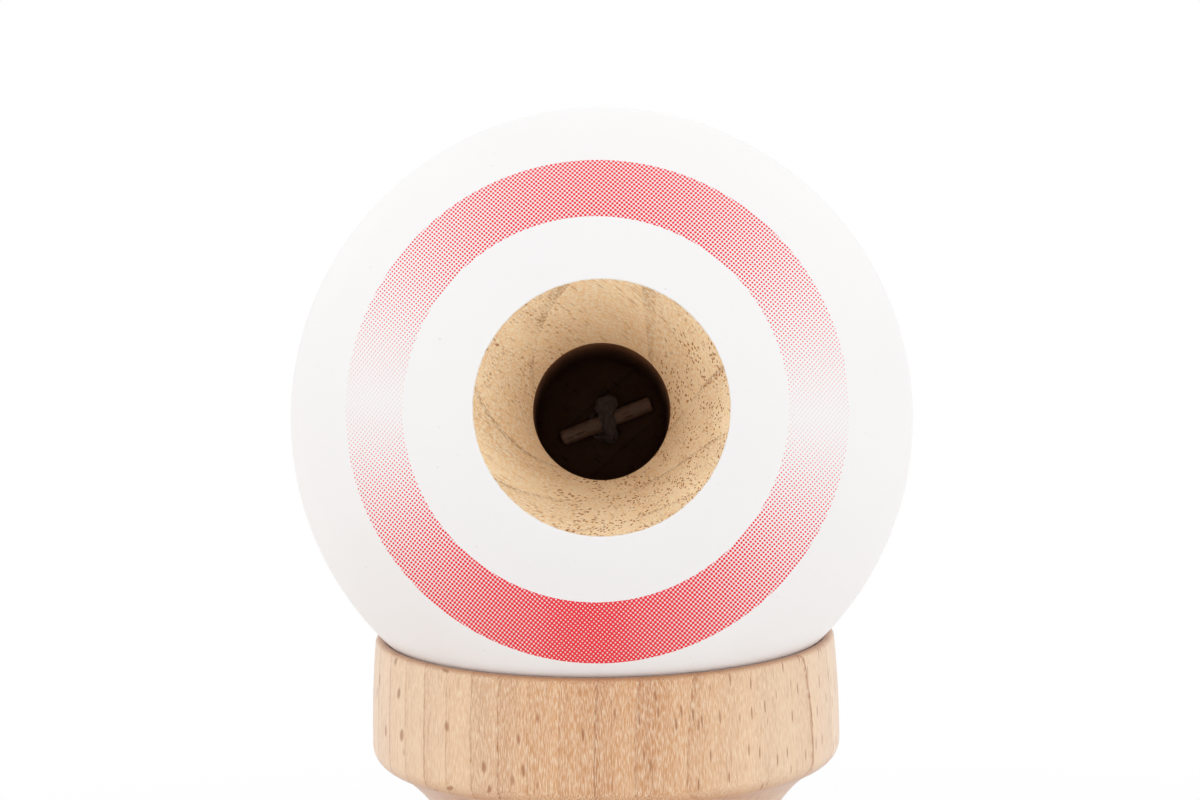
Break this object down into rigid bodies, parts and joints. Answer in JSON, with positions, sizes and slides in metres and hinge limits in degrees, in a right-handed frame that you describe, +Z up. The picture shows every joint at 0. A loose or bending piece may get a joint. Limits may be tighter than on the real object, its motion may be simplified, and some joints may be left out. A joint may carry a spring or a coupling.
{
  "type": "kendama",
  "caption": "Wooden skill toy: a bored lacquered ball rests in the larger of two opposed cups, with a spiked handle through their waist and a string that ties ball to handle.",
  "frame": {"origin": "middle of the small cup's rim, on the plane that the toy stands on", "axes": "+Z up along the axis of the two cups to the ball; +X along the handle towards the spike; the ball's bore faces -Y, tipped up 10.5 degrees"},
  "size_m": [0.16, 0.0721, 0.121],
  "materials": {
    "cup_wood": "turned beech, sanded and bare",
    "handle_wood": "turned beech, sanded and bare",
    "ball_lacquer": "white satin lacquer on beech, with a printed red dotted ring, bare wood in the bore",
    "toggle_wood": "plain hardwood stick",
    "string": "three-ply laid string, brown"
  },
  "bodies": {
    "ken_and_sarado": {"sarado": "cup_wood", "ken": "handle_wood", "string_in_sarado": "string", "string_to_sarado": "string", "string_coil": "string", "string_from_ball": "string"},
    "string_end": {"toggle": "toggle_wood", "string_in_ball": "string"},
    "tama": {"tama": "ball_lacquer"}
  },
  "joints": [
    {"name": "tama_lift", "type": "slide", "parent": "ken_and_sarado", "child": "string_end", "axis": [0, 0, 1], "range_m": [0, 0.3], "deforming": ["string_from_ball"]},
    {"name": "tama_spin", "type": "hinge", "parent": "string_end", "child": "tama", "pos_m": [0, 0, 0.09103], "axis": [0, -0.9833, 0.1822], "continuous": true}
  ]
}
